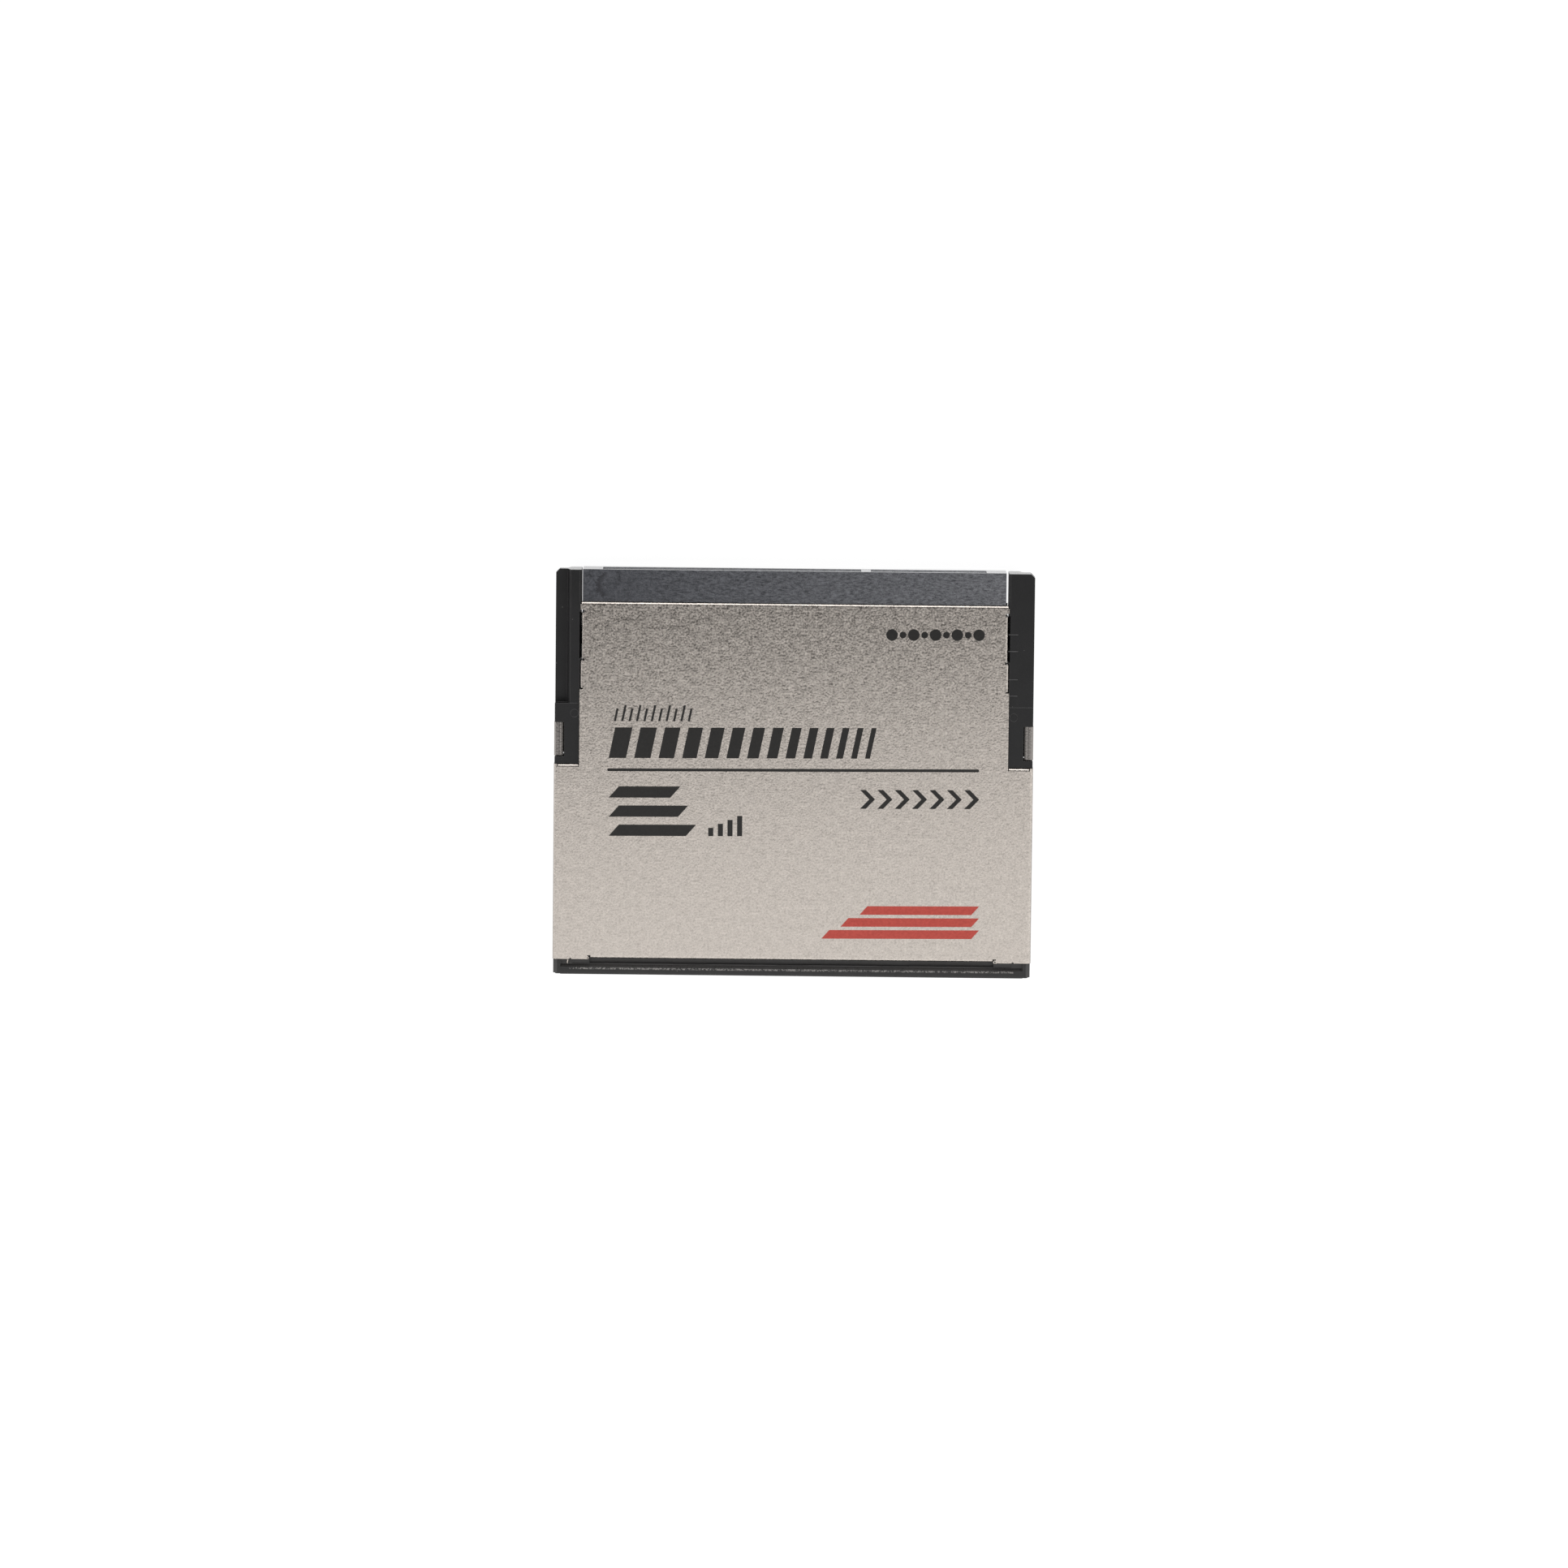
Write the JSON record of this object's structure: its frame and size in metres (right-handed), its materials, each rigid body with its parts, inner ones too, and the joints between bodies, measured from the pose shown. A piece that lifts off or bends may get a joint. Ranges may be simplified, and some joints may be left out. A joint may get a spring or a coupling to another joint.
{
  "type": "cfast memory card",
  "caption": "Flat removable memory card: black plastic frame, two folded sheet metal covers, two-mouth blade connector on one end and a board of chips inside.",
  "frame": {"origin": "under the middle of the card, on the outer face of the bottom cover", "axes": "+X across the card to the right seen from the label side, +Y towards the connector end, +Z out of the label side"},
  "size_m": [0.0428, 0.0364, 0.0036],
  "materials": {
    "frame_plastic": "fine moulded grain, near black",
    "cover_sheet": "satin stainless sheet with a fine even grain, warm silver",
    "connector_plastic": "smooth moulded, dark blue grey",
    "contact_gold": "gold plated spring copper",
    "board_laminate": "green solder mask over glass laminate",
    "chip_mould": "moulded black chip package",
    "crystal_can": "plated metal lid",
    "inductor_body": "grey ferrite",
    "capacitor_body": "tan ceramic with tinned ends",
    "resistor_body": "black glaze with tinned ends"
  },
  "bodies": {
    "root": {"frame": "frame_plastic", "top_cover": "cover_sheet", "bottom_cover": "cover_sheet", "connector_housing": "connector_plastic", "circuit_board": "board_laminate", "signal_contact_1": "contact_gold", "signal_contact_2": "contact_gold", "signal_contact_3": "contact_gold", "signal_contact_4": "contact_gold", "signal_contact_5": "contact_gold", "signal_contact_6": "contact_gold", "signal_contact_7": "contact_gold", "power_contact_1": "contact_gold", "power_contact_2": "contact_gold", "power_contact_3": "contact_gold", "power_contact_4": "contact_gold", "power_contact_5": "contact_gold", "power_contact_6": "contact_gold", "power_contact_7": "contact_gold", "power_contact_8": "contact_gold", "power_contact_9": "contact_gold", "power_contact_10": "contact_gold", "power_contact_11": "contact_gold", "power_contact_12": "contact_gold", "power_contact_13": "contact_gold", "power_contact_14": "contact_gold", "power_contact_15": "contact_gold", "power_contact_16": "contact_gold", "power_contact_17": "contact_gold", "flash_chip_1": "chip_mould", "flash_chip_2": "chip_mould", "flash_chip_3": "chip_mould", "flash_chip_4": "chip_mould", "controller_chip": "chip_mould", "buffer_chip": "chip_mould", "clock_crystal": "crystal_can", "regulator_1": "chip_mould", "regulator_2": "chip_mould", "inductor_1": "inductor_body", "inductor_2": "inductor_body", "capacitor_1": "capacitor_body", "capacitor_2": "capacitor_body", "capacitor_3": "capacitor_body", "capacitor_4": "capacitor_body", "capacitor_5": "capacitor_body", "capacitor_6": "capacitor_body", "capacitor_7": "capacitor_body", "capacitor_8": "capacitor_body", "resistor_array_1": "resistor_body", "resistor_array_2": "resistor_body", "resistor_array_3": "resistor_body", "resistor_array_4": "resistor_body"}
  },
  "joints": []
}
